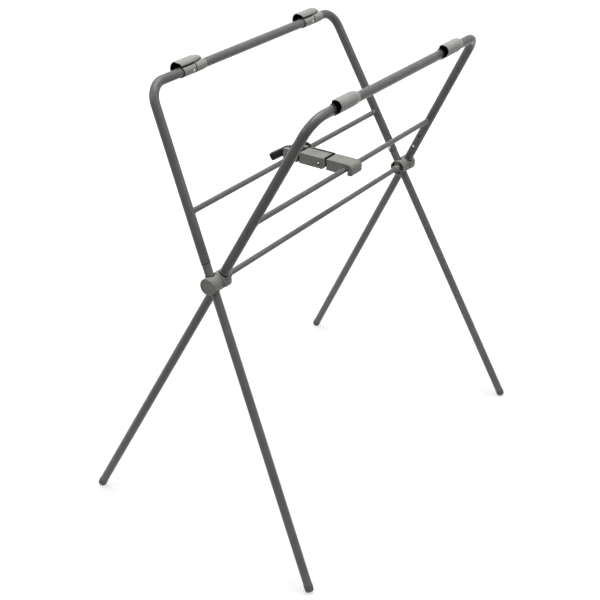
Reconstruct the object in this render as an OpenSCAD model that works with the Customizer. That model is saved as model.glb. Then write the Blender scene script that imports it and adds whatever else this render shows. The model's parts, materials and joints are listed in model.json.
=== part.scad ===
// Folding cross-legged stand for a baby bath tub.
// Two bent-tube frames cross and hinge on an axle tube along X. Z is up and the floor is z = 0.
// The left frame has its top bar on the +Y side, the right frame on the -Y side.
// The near end of the stand is at -X and the far end at +X.

/* [Tube frames] */
// Outside diameter of the bent top tubes
frame_d = 20; // [18:0.5:24]
// Wall of the bent top tubes
frame_wall = 0.7; // [0.6:0.1:1]
// Outside diameter of the lower leg tubes, which slide into the top tubes
leg_d = 18.5; // [16:0.1:18.5]
// Wall of the lower leg tubes
leg_wall = 1; // [0.8:0.1:1.5]
// Height of the top bars above the hinge, measured in the plane of a frame
top_reach = 412; // [340:1:440]
// Reach of the legs below the hinge, measured in the plane of a frame
foot_reach = 668; // [560:1:720]
// Distance between the legs of one frame at the hinge
leg_span = 764; // [640:1:800]
// Lean of each frame from the upright when the stand is open
lean = 26.6; // [24:0.1:30]
// Splay of each leg towards the floor
splay = 6.5; // [4:0.1:7]
// Bend radius of the top corners, on the centre line
bend_r = 45; // [40:1:60]

/* [Cross bars] */
// Diameter of the cross bars and of the axle tube
bar_d = 12; // [11:0.1:12.4]
// Wall of the cross bars and of the axle tube
bar_wall = 1; // [0.8:0.1:1.5]
// Height of the cross bars above the hinge, in the plane of a frame
bar_reach = 150; // [146:1:156]

/* [Pivot hubs] */
// Radius of a hub barrel
hub_r = 18.5; // [18:0.1:20]
// Distance from the hinge's middle plane to a leg's centre line
hub_in = 13; // [13:0.1:14]
// Distance from a leg's centre line to the end face of its hub
hub_out = 15; // [15:0.5:20]
// Thickness of the slip washer between the hub halves
washer_t = 0.9; // [0.8:0.1:1.2]
// Diameter of the pivot bolts
bolt_d = 8; // [7:0.1:8.4]
// Length of the ferrules on the axle tube
ferrule_len = 16; // [10:1:20]
// Thickness of the disc that closes the outer end of a hub
cap_t = 3; // [2.5:0.1:4]
// Depth of the ribbed pockets in the end of a hub
pocket_depth = 17; // [8:1:18]
// Width of the raised pad on a hub
pad_w = 14; // [12:0.5:16]
// How far the pad stands out of the barrel
pad_out = 1.6; // [1:0.1:2.2]
// Turn of the pad about the barrel, from square to its frame
pad_turn = 20; // [10:1:26]
// Thickness of the ribs in the pockets
rib_t = 2.2; // [1.6:0.1:3]

/* [Joints of the legs] */
// Height above the hinge at which the left top tube ends, along the leg
sleeve_end_left = 45; // [40:1:46]
// Height above the hinge at which the right top tube ends, along the leg
sleeve_end_right = 28; // [26:1:40]
// How far the lower tube reaches into the top tube
spigot_len = 55; // [45:1:70]
// Height of the left snap buttons above the hinge, along the leg
button_at_left = 56; // [54:1:60]
// Height of the right snap buttons above the hinge, along the leg
button_at_right = 65; // [60:1:66]
// Distance from a right snap button to the spare hole above it
hole_pitch = 34; // [30:1:38]
// Diameter of the snap buttons
button_d = 7; // [6:0.1:8]
// How far a snap button stands out of the top tube
button_out = 2; // [1.5:0.1:2.5]

// How far a snap button is pressed in
button_travel = 3; // [2:0.1:3]
// Depth of a snap button's body inside the lower tube
button_in = 3.4; // [3.2:0.1:3.6]
// Thickness of the spring strip behind a snap button
strip_t = 0.7; // [0.5:0.1:0.9]
// Width of the spring strip
strip_w = 5; // [4:0.5:6]
// Length of the spring strip's legs
strip_len = 24; // [18:1:30]

/* [Feet] */
// Radius of the rounded foot plugs
foot_r = 9.8; // [9.5:0.1:11]
// Depth of the flat on which each foot stands
foot_flat = 1; // [0.6:0.1:1.5]
// Length of the collar of a foot plug
foot_collar = 9; // [6:1:14]
// Length of the plug inside the tube
foot_plug = 22; // [15:1:30]

/* [Tub clips] */
// Distance of the near clips' open ends from the middle of the stand
clip_near_at = 262; // [250:1:270]
// Distance of the far clips' open ends from the middle of the stand
clip_far_at = 174; // [150:1:178]
// Start of a clip's sleeve, from its open end
sleeve_from = 14; // [10:1:20]
// End of a clip's sleeve, from its open end
sleeve_to = 106; // [98:1:108]
// Outside radius of a clip's sleeve
sleeve_r = 11.8; // [11.4:0.1:12.2]
// Ring groove of a clip's sleeve, from its open end
groove_at = 61; // [54:1:66]
// Outside radius of the curled flap
flap_r = 14.5; // [14:0.1:15.5]
// Wall of the curled flap
flap_wall = 1.8; // [1.6:0.1:2.4]
// Offset of the flap's axis from the tube's axis
flap_off = 11; // [10:0.1:11.5]
// Direction of the flap's axis from the tube's, from outward towards up
flap_lean = 48; // [40:1:56]
// Angle at which the flap leaves the sleeve, from outward towards up
flap_from = -78; // [-90:1:-60]
// Angle of the flap's free edge, from outward towards up
flap_to = 138; // [120:1:160]
// Straight length of the flap
flap_len = 54; // [45:1:60]
// Length of the rounded shoulder at the flap's closed end
shoulder_len = 34; // [26:1:36]
// Depth of the flap's lined channel
lining_len = 36; // [20:1:46]
// Thickness of the lining
lining_t = 0.8; // [0.6:0.1:1]

/* [Brace] */
// Middle of the brace along the cross bars
brace_x = 15; // [0:1:30]
// Width of the brace
brace_w = 46; // [44:1:52]
// Height of the brace
brace_h = 25; // [24.6:0.1:26]
// Wall of the housing's and the clamp's cheeks
cheek_t = 3.5; // [3:0.1:4]
// Thickness of the top of the housing and of the clamp
top_t = 3; // [2.6:0.1:3.2]
// Wall of the inner core
core_t = 3; // [2.5:0.1:3.5]
// Floor of the inner core
core_floor = 2.5; // [2:0.1:3]
// Reach of the clamp block outward from its cross bar
clamp_back = 28; // [27:1:30]
// Reach of the clamp block inward from its cross bar
clamp_front = 11; // [10:0.5:12]
// Start of the housing, from the left cross bar
housing_from = 16; // [15:0.5:18]
// End of the housing, from the left cross bar
housing_to = 84; // [83:0.5:85]
// End of the housing's top
plate_to = 80; // [78:0.5:81]
// Slot between the housing's top and its rear cheek
slot_w = 3; // [2:0.5:4]
// Distance of the hook's hinge pin from the left cross bar
pin_at = 66; // [65:0.5:67]
// Diameter of the hook's hinge pin
pin_d = 5; // [4:0.1:5.5]
// Start of the hook's body, from the left cross bar
hook_from = 86; // [86:0.5:88]
// How far the hook's sides stand in from the housing's
hook_set_in = 2; // [1.5:0.5:4]
// Length of the hook past the cross bar that it holds
hook_nose = 17.7; // [16:0.1:20]
// Slope of the hook's mouth: how far its lower edge stands inward
ramp = 9.5; // [8:0.5:12]
// Radius of the hook's tongue about its pin
tongue_r = 7.6; // [7:0.1:8]
// End of the hook's tail, from the left cross bar
tail_to = 45; // [44:0.5:46]
// Distance of the lever's pin outward from the left cross bar
lever_back = 15; // [14:0.5:16]
// Height of the lever's pin above the left cross bar
lever_up = 3.5; // [3:0.1:4]
// Width of the release lever
lever_w = 20; // [18:1:24]
// Thickness of the release lever's grip
lever_t = 13; // [11:0.5:13]
// Length of the grip
grip_len = 42; // [36:1:44]
// Slope of the grip
grip_slope = 33; // [30:1:36]
// Start of the grip, from the left cross bar
grip_from = 30; // [29:0.5:31]
// Diameter of the release lever's hinge pin
lever_pin_d = 4; // [3:0.1:4.5]
// Underside of the lever's finger where it meets the hook's tail
finger_low = 6.2; // [6:0.1:6.4]
// Thickness of the lever's finger
finger_t = 2.4; // [2:0.1:2.6]
// End of the lever's finger, from the left cross bar
finger_to = 48.5; // [47:0.5:48.5]
// Wire of the hook's spring
spring_wire = 1.2; // [1:0.1:1.4]
// Turns of the hook's spring
spring_turns = 3; // [2:1:4]
// Side of the spring, from the brace's middle
spring_from = 11; // [10:0.5:11.5]

/* [Fits] */
// Radial clearance of parts that turn on a pin
turn_gap = 0.08; // [0.05:0.01:0.1]
// Gap between parts that move past each other
pass_gap = 0.4; // [0.3:0.05:0.6]
// Radial clearance of tubes and plugs that are pushed together
push_gap = 0.05; // [0.03:0.01:0.08]

/* [Hidden] */
$fn = 64;
LEFT = 1;
RIGHT = -1;
NEAR = -1;
FAR = 1;

dark = "#565656";
plastic = "#767772";
pale = "#A6A7A1";
black = "#1C1C1C";
steel = "#B8BABC";

frame_r = frame_d / 2;
frame_in = frame_r - frame_wall;
leg_r = leg_d / 2;
leg_in = leg_r - leg_wall;
bar_r = bar_d / 2;
bolt_r = bolt_d / 2;
axle_h = foot_reach * cos(lean) + foot_r - foot_flat;

// Radius of the snap buttons' domed tops
dome_r = (button_d * button_d / 4 + 1) / 2;

// Half of the slip gap on each side of the hinge's middle plane
half_gap = washer_t / 2;
// The axle tube reaches into the inner hub ends by this much
axle_in = 4;
axle_end = leg_span / 2 - hub_in - hub_out + axle_in;

// Corners of the bent frame
corner_x = leg_span / 2 - top_reach * tan(splay);
turn = 90 - splay;
bend_len = bend_r * tan(turn / 2);
// A bend stands this much prouder than its tube
bend_swell = 0.03;

// Places its children in the plane of a frame: X along the axle, Z up the frame
module in_frame(side) {
    translate([-side * hub_in, 0, axle_h])
        rotate([-side * lean, 0, 0])
            children();
}

// Places its children on a leg: the origin is on the axle and Z runs up the leg
module on_leg(side, end) {
    in_frame(side)
        translate([end * leg_span / 2, 0, 0])
            rotate([0, -end * splay, 0])
                children();
}

// A hollow or solid rod along Z from z0 to z1
module rod(r, z0, z1, bore = 0) {
    translate([0, 0, z0])
        difference() {
            cylinder(r = r, h = z1 - z0);
            if (bore > 0)
                translate([0, 0, -1])
                    cylinder(r = bore, h = z1 - z0 + 2);
        }
}

// A rod along X
module rod_x(r, x0, x1, bore = 0) {
    rotate([0, 90, 0])
        rod(r, x0, x1, bore);
}

// Core of the bent top tube: a straight bar, two legs, and bends that swallow their ends
module bent_rod(r, from) {
    half_bar = corner_x - bend_len;
    translate([0, 0, top_reach])
        rod_x(r, -half_bar - 1, half_bar + 1);
    for (end = [NEAR, FAR])
        mirror([end == FAR ? 0 : 1, 0, 0]) {
            translate([half_bar, 0, top_reach - bend_r])
                rotate([90, 0, 0])
                    rotate([0, 0, 90 - turn])
                        rotate_extrude(angle = turn)
                            translate([bend_r, 0])
                                circle(r = r + bend_swell);
            translate([leg_span / 2, 0, 0])
                rotate([0, -splay, 0])
                    rod(r, from, top_reach / cos(splay) - bend_len + 1);
        }
}

module top_frame(side) {
    color(dark)
        difference() {
            in_frame(side)
                difference() {
                    bent_rod(frame_r, sleeve_end(side));
                    bent_rod(frame_in, sleeve_end(side) - 1);
                }
            for (end = [NEAR, FAR])
                button_axis(side, end) {
                    rod(button_d / 2 + pass_gap / 2, 0, frame_r + 5);
                    // Spare hole of the right frame
                    if (side == RIGHT)
                        translate([end * hole_pitch, 0, 0])
                            rod(button_d / 2 - 0.8, 0, frame_r + 5);
                }
        }
}

function sleeve_end(side) = side == LEFT ? sleeve_end_left : sleeve_end_right;
function button_at(side) = side == LEFT ? button_at_left : button_at_right;

// Z points out of the leg, along the way its snap button moves
module button_axis(side, end) {
    on_leg(side, end)
        translate([0, 0, button_at(side)])
            rotate([0, -end * 90, 0])
                children();
}

module leg(side, end) {
    color(dark)
        difference() {
            on_leg(side, end)
                rod(leg_r, -foot_reach / cos(splay) + foot_collar, sleeve_end(side) + spigot_len, leg_in);
            button_axis(side, end)
                rod(button_d / 2 + pass_gap / 2, 0, frame_r + 5);
            in_frame(side)
                translate([end * leg_span / 2, 0, 0])
                    rod_x(bolt_r + (side == RIGHT ? 0.5 : push_gap), -leg_d, leg_d);
            // Seat of the screw that holds the tube in its hub
            hub_screw_axis(side, end)
                rod(1.6, 0, hub_r);
        }
}

module foot(side, end) {
    color(black)
        difference() {
            on_leg(side, end)
                translate([0, 0, -foot_reach / cos(splay)]) {
                    sphere(r = foot_r);
                    rod(foot_r, 0, foot_collar);
                    rod(leg_in - push_gap, foot_collar - 0.01, foot_collar + foot_plug);
                }
            translate([-1000, -1000, -100])
                cube([2000, 2000, 100]);
        }
}

// Cross bar between the legs of a frame, with a weld collar at each end
module crossbar(side) {
    half = leg_span / 2 - bar_reach * tan(splay);
    color(dark)
        in_frame(side)
            difference() {
                translate([0, 0, bar_reach])
                    union() {
                        rod_x(bar_r, -half, half);
                        for (end = [NEAR, FAR])
                            translate([end * half, 0, 0])
                                rotate([0, -end * 90, 0])
                                    cylinder(r1 = bar_r + 2.5, r2 = bar_r + 0.2, h = frame_r + 4);
                    }
                for (end = [NEAR, FAR])
                    translate([end * leg_span / 2, 0, 0])
                        rotate([0, -end * splay, 0])
                            rod(frame_r + 0.02, 0, 2 * bar_reach);
                translate([0, 0, bar_reach])
                    rod_x(bar_r - bar_wall, -half + frame_r - 2, half - frame_r + 2);
            }
}

// Axle tube from hub to hub
module axle_tube() {
    color(dark)
        translate([0, 0, axle_h])
            difference() {
                rod_x(bar_r, -axle_end, axle_end);
                rod_x(bar_r - bar_wall, -axle_end + 30, axle_end - 30);
                // Threaded holes for the pivot bolts
                for (end = [-1, 1])
                    translate([end * axle_end, 0, 0])
                        rod_x(bolt_r - 1, -25, 25);
            }
}

// Ferrules on the axle tube in front of the hubs, each with a rounded collar
module axle_ferrules() {
    edge = ferrule_len - axle_in;
    color(plastic)
        for (end = [NEAR, FAR])
            translate([0, 0, axle_h])
                mirror([end == FAR ? 0 : 1, 0, 0])
                    translate([axle_end - axle_in - pass_gap, 0, 0])
                        rotate([0, -90, 0])
                            difference() {
                                union() {
                                    rod(bar_r + 1.6, 0, ferrule_len);
                                    translate([0, 0, edge])
                                        rotate_extrude()
                                            translate([bar_r + 1, 0])
                                                circle(r = 2);
                                }
                                rod(bar_r + push_gap, -5, ferrule_len + 5);
                            }
}

// Barrel of a hub half along its own axis: x = 0 on the leg, the end face at -hub_out
module hub_shell() {
    rotate([0, 90, 0])
        rotate_extrude()
            difference() {
                translate([0, -hub_out])
                    square([hub_r, hub_out + hub_in - half_gap]);
                // Eased edges at both faces
                for (y = [-hub_out, hub_in - half_gap])
                    translate([hub_r, y])
                        rotate(45)
                            square(1.2, center = true);
            }
}

// Pockets in the end face, with ribs, a boss and a sleeve round the leg left standing
module hub_pockets(side, end) {
    difference() {
        rod_x(hub_r - 2.2, -hub_out - 1, -hub_out + pocket_depth);
        rod_x(bar_r + 3, -hub_out - 2, hub_in);
        for (a = [30, 150, 270])
            rotate([a, 0, 0])
                translate([-hub_out - 2, -rib_t / 2, 0])
                    cube([2 * hub_out, rib_t, hub_r]);
        mirror([side == LEFT ? 0 : 1, 0, 0])
            rotate([0, -end * splay, 0])
                rod(leg_r + 2, -hub_r, hub_r);
    }
}

// One half of a pivot hub. It is drawn for a left frame; the right one is its mirror image.
module hub_half(side, end) {
    outer = (side == LEFT) == (end == NEAR);
    color(plastic)
        difference() {
            in_frame(side)
                translate([end * leg_span / 2, 0, 0])
                    mirror([side == LEFT ? 0 : 1, 0, 0])
                        difference() {
                            union() {
                                hub_shell();
                                // Raised pad on the outward side
                                hub_pad(side);
                            }
                            hub_pockets(side, end);
                            // Seat of the bolt's head, or of the axle tube
                            if (outer)
                                rod_x(bolt_r + 3.2, -hub_out - 1, -hub_out + 5);
                            else
                                rod_x(bar_r + (side == LEFT ? push_gap : turn_gap), -hub_out - 1, -hub_out + axle_in);
                            // Bore of the pivot bolt
                            rod_x(bolt_r + (side == LEFT ? push_gap : turn_gap), -hub_out - 1, hub_in + 1);
                        }
            // Bore of the leg and the wider mouths at both of its ends
            on_leg(side, end) {
                rod(leg_r + push_gap, -hub_r - 5, hub_r + 5);
                for (s = [-1, 1])
                    mirror([0, 0, s == 1 ? 0 : 1])
                        rod(leg_r + 1.3, hub_r - 6, hub_r + 5);
            }
            hub_screw_axis(side, end) {
                rod(1.5, 0, hub_r + 5);
                rod(3.1, hub_r + pad_out - 1.4, hub_r + 8);
            }
        }
}

// Raised pad along the barrel with rounded ends, which takes the tube's fixing screw
module hub_pad(side) {
    from = -hub_out + 2.5;
    to = hub_in - half_gap - 2.5;
    rotate([side * pad_turn, 0, 0])
        rotate([-side * 90, 0, 0])
            translate([0, 0, hub_r - 6])
                linear_extrude(6 + pad_out)
                    rounded_rect(from, to, -pad_w / 2, pad_w / 2, 4);
}

// Z points out of the hub through its pad
module hub_screw_axis(side, end) {
    in_frame(side)
        translate([end * leg_span / 2, 0, 0])
            rotate([side * pad_turn, 0, 0])
                rotate([-side * 90, 0, 0])
                    children();
}

module hub_screws(side) {
    head_at = hub_r + pad_out - 1.35;
    color(steel)
        for (end = [NEAR, FAR])
            hub_screw_axis(side, end)
                difference() {
                    union() {
                        rod(1.45, leg_in + 0.2, hub_r + 0.5);
                        rod(2.9, head_at, head_at + 1.6);
                    }
                    translate([-2.2, -0.35, head_at + 0.8])
                        cube([4.4, 0.7, 2]);
                    translate([-0.35, -2.2, head_at + 0.8])
                        cube([0.7, 4.4, 2]);
                }
}

// Disc with a raised rim, pushed into the outer end of a hub
module hub_cap(end) {
    side = end == NEAR ? LEFT : RIGHT;
    color(plastic)
        in_frame(side)
            translate([end * leg_span / 2, 0, 0])
                mirror([side == LEFT ? 0 : 1, 0, 0])
                    translate([-hub_out, 0, 0])
                        rotate([0, -90, 0])
                            rotate_extrude()
                                cap_profile();
}

module cap_profile() {
    rim = hub_r - 0.1;
    edge = cap_t * 0.6;
    difference() {
        union() {
            square([rim - edge, cap_t]);
            square([rim, cap_t - edge]);
            translate([rim - edge, cap_t - edge])
                circle(r = edge);
        }
        // Dished middle
        translate([0, cap_t - 0.8])
            square([rim - 4, 2]);
        translate([-50, -50])
            square([50, 100]);
        translate([-50, -50])
            square([100, 50]);
    }
}

// Shouldered bolt through both halves and both tubes, into the axle tube
module pivot_bolt(end) {
    side = end == NEAR ? LEFT : RIGHT;
    out = hub_in + hub_out;
    color(steel)
        translate([end * leg_span / 2, 0, axle_h])
            mirror([end == NEAR ? 0 : 1, 0, 0]) {
                rod_x(bolt_r, -out + 1, out - axle_in - 0.01);
                rod_x(bolt_r - 1 - push_gap, out - axle_in - 0.02, out + 14);
                difference() {
                    rod_x(bolt_r + 2.9, -out + 0.6, -out + 4.9);
                    rotate([0, 90, 0])
                        translate([0, 0, -out + 0.5])
                            cylinder(r = 2.8, h = 2.4, $fn = 6);
                }
            }
}

module slip_washers() {
    color(black)
        for (end = [NEAR, FAR])
            translate([end * leg_span / 2 - half_gap, 0, axle_h])
                rod_x(hub_r - 3, 0, washer_t - pass_gap, bolt_r + 0.3);
}

// Snap button: a round-topped pin whose stem slides in the strip behind it
module button(side, end) {
    color(steel)
        button_axis(side, end) {
            rod(1.2, leg_in - button_in - button_travel - 1.8, leg_in - button_in + 0.5);
            rod(button_d / 2, leg_in - button_in, frame_r + button_out - 1);
            // Domed top
            intersection() {
                translate([0, 0, frame_r + button_out - dome_r])
                    sphere(r = dome_r);
                rod(button_d / 2, frame_r, frame_r + button_out);
            }
        }
}

// Bent spring strips inside the lower tubes, behind the snap buttons
module button_springs(side) {
    color(steel)
        for (end = [NEAR, FAR])
            button_axis(side, end)
                difference() {
                    rotate([90, 0, 0])
                        translate([0, 0, -strip_w / 2])
                            linear_extrude(strip_w)
                                spring_strip();
                    // Hole for the button's stem
                    rod(1.5, -1, leg_r);
                }
}

// Side view of a strip: the back leg lies on the tube wall and the front leg guides the button
module spring_strip() {
    back = -sqrt(leg_in * leg_in - strip_w * strip_w / 4) + pass_gap;
    front = leg_in - button_in - button_travel - pass_gap;
    bend = (front - back) / 2;
    for (y = [back, front - strip_t])
        translate([-button_d / 2, y])
            square([strip_len, strip_t]);
    translate([strip_len - button_d / 2, (front + back) / 2])
        intersection() {
            difference() {
                circle(r = bend);
                circle(r = bend - strip_t);
            }
            translate([-0.01, -bend])
                square([bend, 2 * bend]);
        }
}

// Places a clip: X runs along its tube from its open end, Z is up and Y points outward
module on_top_bar(side, end) {
    start = end == NEAR ? -clip_near_at : clip_far_at;
    translate([start, side * top_reach * sin(lean), axle_h + top_reach * cos(lean)])
        mirror([0, side == LEFT ? 0 : 1, 0])
            children();
}

function ease(t) = sqrt(max(0, 1 - t * t));

module clip(side, end) {
    color(pale)
        on_top_bar(side, end)
            difference() {
                union() {
                    rotate([0, 90, 0])
                        rotate_extrude()
                            sleeve_profile();
                    difference() {
                        on_flap()
                            flap_turn(flap_from, flap_to)
                                flap_profile(flap_r, flap_r - flap_wall, 0);
                        rod_x(sleeve_r - 0.4, -10, sleeve_to + 10);
                    }
                }
                clip_screw_axis() {
                    rod(1.6, 0, 40);
                    rod(3.2, sleeve_r - 0.8, 40);
                }
            }
}

// Sleeve round the tube: two parts with a ring groove between them, and a tapering end
module sleeve_profile() {
    inner = frame_r + push_gap;
    taper = 26;
    steps = 10;
    difference() {
        polygon(concat(
            [[inner, sleeve_from], [sleeve_r, sleeve_from], [sleeve_r, sleeve_to - taper]],
            [for (i = [1 : steps])
                let (t = i / steps)
                [inner + 0.3 + (sleeve_r - inner - 0.3) * ease(t), sleeve_to - taper * (1 - t)]],
            [[inner, sleeve_to]]));
        translate([sleeve_r - 0.8, groove_at])
            square([3, 1.6]);
        // Relief at the open end
        translate([inner - 1, sleeve_from - 1])
            square([1.7, 2.4]);
    }
}

// Moves to the flap's axis, with its angles measured from outward towards up
module on_flap() {
    translate([0, flap_off * cos(flap_lean), flap_off * sin(flap_lean)])
        children();
}

// Turns a profile about X, from one angle to another
module flap_turn(from, to) {
    rotate([0, 90, 0])
        rotate([0, 0, 90 + from])
            rotate_extrude(angle = to - from)
                children();
}

// Wall of the flap from its open end to its round shoulder
module flap_profile(outer, inner, from) {
    steps = 10;
    end_r = 5;
    wall = outer - inner;
    polygon(concat(
        [[inner, from], [outer, from], [outer, flap_len]],
        [for (i = [1 : steps])
            let (t = i / steps)
            [end_r + (outer - end_r) * ease(t), flap_len + t * shoulder_len]],
        [for (i = [steps : -1 : 0])
            let (t = i / steps)
            [end_r + (inner - end_r) * ease(t), flap_len + t * (shoulder_len - wall)]]));
}

// Black lining of the flap's channel, with a closed bottom
module clip_linings(side) {
    outer = flap_r - flap_wall - push_gap;
    color(black)
        for (end = [NEAR, FAR])
            on_top_bar(side, end)
                difference() {
                    on_flap()
                        flap_turn(flap_from + 6, flap_to - 3) {
                            translate([outer - lining_t, 1])
                                square([lining_t, lining_len]);
                            translate([0.5, lining_len - 1])
                                square([outer - 0.5, 2]);
                        }
                    rod_x(sleeve_r + push_gap, -10, sleeve_to + 10);
                }
}

// Z points out of the tube through the clip's fixing screw, on the inner side
module clip_screw_axis() {
    translate([groove_at - 5, 0, 0])
        rotate([72, 0, 0])
            children();
}

module clip_screws(side) {
    color(steel)
        for (end = [NEAR, FAR])
            on_top_bar(side, end)
                clip_screw_axis() {
                    rod(1.5, frame_r + 0.05, sleeve_r - 0.5);
                    rod(2.4, sleeve_r - 0.75, sleeve_r + 0.4);
                }
}

// Place of the left cross bar, on which the brace turns, and its distance to the right one
bar_y = bar_reach * sin(lean);
bar_z = axle_h + bar_reach * cos(lean);
bar_gap = 2 * bar_y;
half_h = brace_h / 2;
half_w = brace_w / 2;
cheek_in = half_w - cheek_t;
core_out = cheek_in - push_gap;
core_in = core_out - core_t;

// Origin on the left cross bar; Y points to the right cross bar and Z is up
module on_brace() {
    translate([brace_x, bar_y, bar_z])
        rotate([0, 0, 180])
            children();
}

// Extrudes a side view, drawn as (along, up), across the brace from x0 to x1
module side_view(x0, x1) {
    translate([x0, 0, 0])
        rotate([90, 0, 90])
            linear_extrude(x1 - x0)
                children();
}

// The same on both sides of the brace's middle
module side_views(x0, x1) {
    side_view(x0, x1)
        children();
    side_view(-x1, -x0)
        children();
}

module rounded_rect(x0, x1, y0, y1, r) {
    translate([x0 + r, y0])
        square([x1 - x0 - 2 * r, y1 - y0]);
    translate([x0, y0 + r])
        square([x1 - x0, y1 - y0 - 2 * r]);
    for (x = [x0 + r, x1 - r])
        for (y = [y0 + r, y1 - r])
            translate([x, y])
                circle(r = r);
}

// Bores of the cross bar and of both hinge pins, with their clearances
module brace_bores(bar_gap_r, pin_gap, lever_gap) {
    rod_x(bar_r + bar_gap_r, -half_w - 1, half_w + 1);
    translate([0, pin_at, 0])
        rod_x(pin_d / 2 + pin_gap, -half_w - 1, half_w + 1);
    translate([0, -lever_back, lever_up])
        rod_x(lever_pin_d / 2 + lever_gap, -half_w - 1, half_w + 1);
}

// Block that wraps the left cross bar, with a slot over the lever's finger
module bar_clamp() {
    color(plastic)
        on_brace()
            difference() {
                side_view(-half_w, half_w)
                    rounded_rect(-clamp_back, clamp_front, -half_h, half_h, 2.5);
                // Hollow for the core, open towards the housing
                translate([-cheek_in, -clamp_back + cheek_t, -half_h - 1])
                    cube([2 * cheek_in, clamp_back + clamp_front, brace_h - top_t + 1]);
                brace_bores(turn_gap, push_gap, push_gap);
                // Slot over the lever, and its way out through the end wall
                translate([-lever_w / 2 - 1, -clamp_back - 1, half_h - top_t - 1])
                    cube([lever_w + 2, 60, top_t + 2]);
                translate([-lever_w / 2 - 1, -clamp_back - 1, -half_h + 3])
                    cube([lever_w + 2, cheek_t + 2, brace_h]);
            }
}

// Black inner channel that carries the bar, the pins, the lever and the hook
module brace_core() {
    color(black)
        on_brace()
            difference() {
                union() {
                    side_views(core_in, core_out)
                        difference() {
                            rounded_rect(-clamp_back + cheek_t + push_gap, pin_at + 10,
                                         -half_h + 1, half_h - top_t - push_gap, 2);
                            // Slots that lighten the walls
                            rounded_rect(16, 40, -4, 3, 3);
                        }
                    side_view(-core_in - 0.1, core_in + 0.1) {
                        translate([-clamp_back + cheek_t + push_gap, -half_h + 1])
                            square([clamp_back + 36, core_floor]);
                        // Cross wall that stops the finger
                        translate([26, -half_h + 1])
                            square([2.5, 11]);
                    }
                }
                brace_bores(turn_gap, push_gap, push_gap);
            }
}

// Housing: top and front cheek in one piece, and a rear cheek beyond a slot
module brace_housing() {
    color(plastic)
        on_brace()
            difference() {
                side_view(-half_w, half_w)
                    housing_side();
                translate([-cheek_in, 0, -half_h - 1])
                    cube([2 * cheek_in, bar_gap, brace_h - top_t + 1]);
                brace_bores(turn_gap, push_gap, push_gap);
                // Slot between the top and the rear cheek
                translate([-cheek_in, housing_from - 1, 0])
                    cube([slot_w, plate_to - housing_from - 8, brace_h]);
                // The top stops short of the hook
                translate([-cheek_in - 1, plate_to, 0])
                    cube([2 * cheek_in + 2, 30, brace_h]);
                translate([-half_w - 1, housing_to - 2, half_h - 4])
                    cube([brace_w + 2, 10, 8]);
            }
}

module housing_side() {
    difference() {
        rounded_rect(housing_from, housing_to, -half_h, half_h, 1.2);
        // Rounded lower end about the hook's pin
        difference() {
            translate([pin_at, -half_h - 1])
                square([30, half_h + 1]);
            translate([pin_at, 0])
                scale([(housing_to - pin_at) / half_h, 1])
                    circle(r = half_h);
        }
    }
}

// Hook link
hook_at = bar_gap;
mouth_r = bar_r + pass_gap;
hook_half = half_w - hook_set_in;
tongue_half = core_in - pass_gap;
tail_top = finger_low - pass_gap;
boss_r = 5.4;

module hook_side() {
    end_r = half_h;
    tip = hook_at + hook_nose - end_r;
    difference() {
        union() {
            translate([hook_from, -half_h])
                square([tip - hook_from, brace_h]);
            translate([tip, 0])
                circle(r = end_r);
        }
        hook_mouth();
    }
}

// Round seat for the cross bar, open downward, with a ramp on its inner side
module hook_mouth() {
    translate([hook_at, 0])
        circle(r = mouth_r);
    polygon([
        [hook_at + mouth_r, 0],
        [hook_at + mouth_r, -half_h - 1],
        [hook_at - mouth_r - ramp, -half_h - 1],
        [hook_at - mouth_r, 0]
    ]);
}

module brace_hook() {
    color(plastic)
        on_brace()
            difference() {
                union() {
                    // Body, its inner end set back about the pin
                    side_view(-hook_half, hook_half)
                        hook_side();
                    // Tongue between the walls of the core, with a tail under the finger
                    side_view(-tongue_half, tongue_half) {
                        translate([pin_at, 0])
                            circle(r = tongue_r);
                        translate([pin_at, -tongue_r])
                            square([hook_from - pin_at + 2, tongue_r + 4]);
                    }
                    side_view(-lever_w / 2 + 2, lever_w / 2 - 2)
                        translate([tail_to, tail_top - 4])
                            square([pin_at - tail_to, 4]);
                }
                translate([0, pin_at, 0])
                    rod_x(pin_d / 2 + turn_gap, -half_w - 1, half_w + 1);
                // Recess for the spring
                translate([0, pin_at, 0])
                    rod_x(tongue_r + 1, spring_from - pass_gap, tongue_half + 1);
                // Hollows under the body, with a middle rib
                for (s = [-1, 1])
                    translate([s * hook_half / 2 - (hook_half - 5) / 2, hook_from + 3, -half_h - 1])
                        cube([hook_half - 5, hook_at - mouth_r - ramp - 4 - hook_from - 3, brace_h - 3]);
            }
}

// Torsion spring on the hook's pin: close turns and two ends
module hook_spring() {
    mid_r = pin_d / 2 + 0.4 + spring_wire / 2;
    color(steel)
        on_brace()
            translate([spring_from, pin_at, 0]) {
                for (i = [0 : spring_turns - 1])
                    translate([spring_wire / 2 + i * spring_wire * 0.95, 0, 0])
                        rotate([0, 90, 0])
                            rotate_extrude()
                                translate([mid_r, 0])
                                    circle(r = spring_wire / 2, $fn = 24);
                translate([spring_wire / 2, 0, -mid_r])
                    rotate([90, 0, 0])
                        rod(spring_wire / 2 - 0.02, 0, 12);
            }
}

module lever_arm() {
    // Arm from the boss out through the clamp block
    translate([-grip_from, lever_up - boss_r])
        square([grip_from - lever_back, 2 * boss_r]);
    // Grip, sloping down
    translate([-grip_from, lever_up - 1])
        rotate(180 + grip_slope) {
            circle(r = lever_t / 2);
            rounded_rect(-1, grip_len, -lever_t / 2, lever_t / 2, 3);
        }
}

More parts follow.
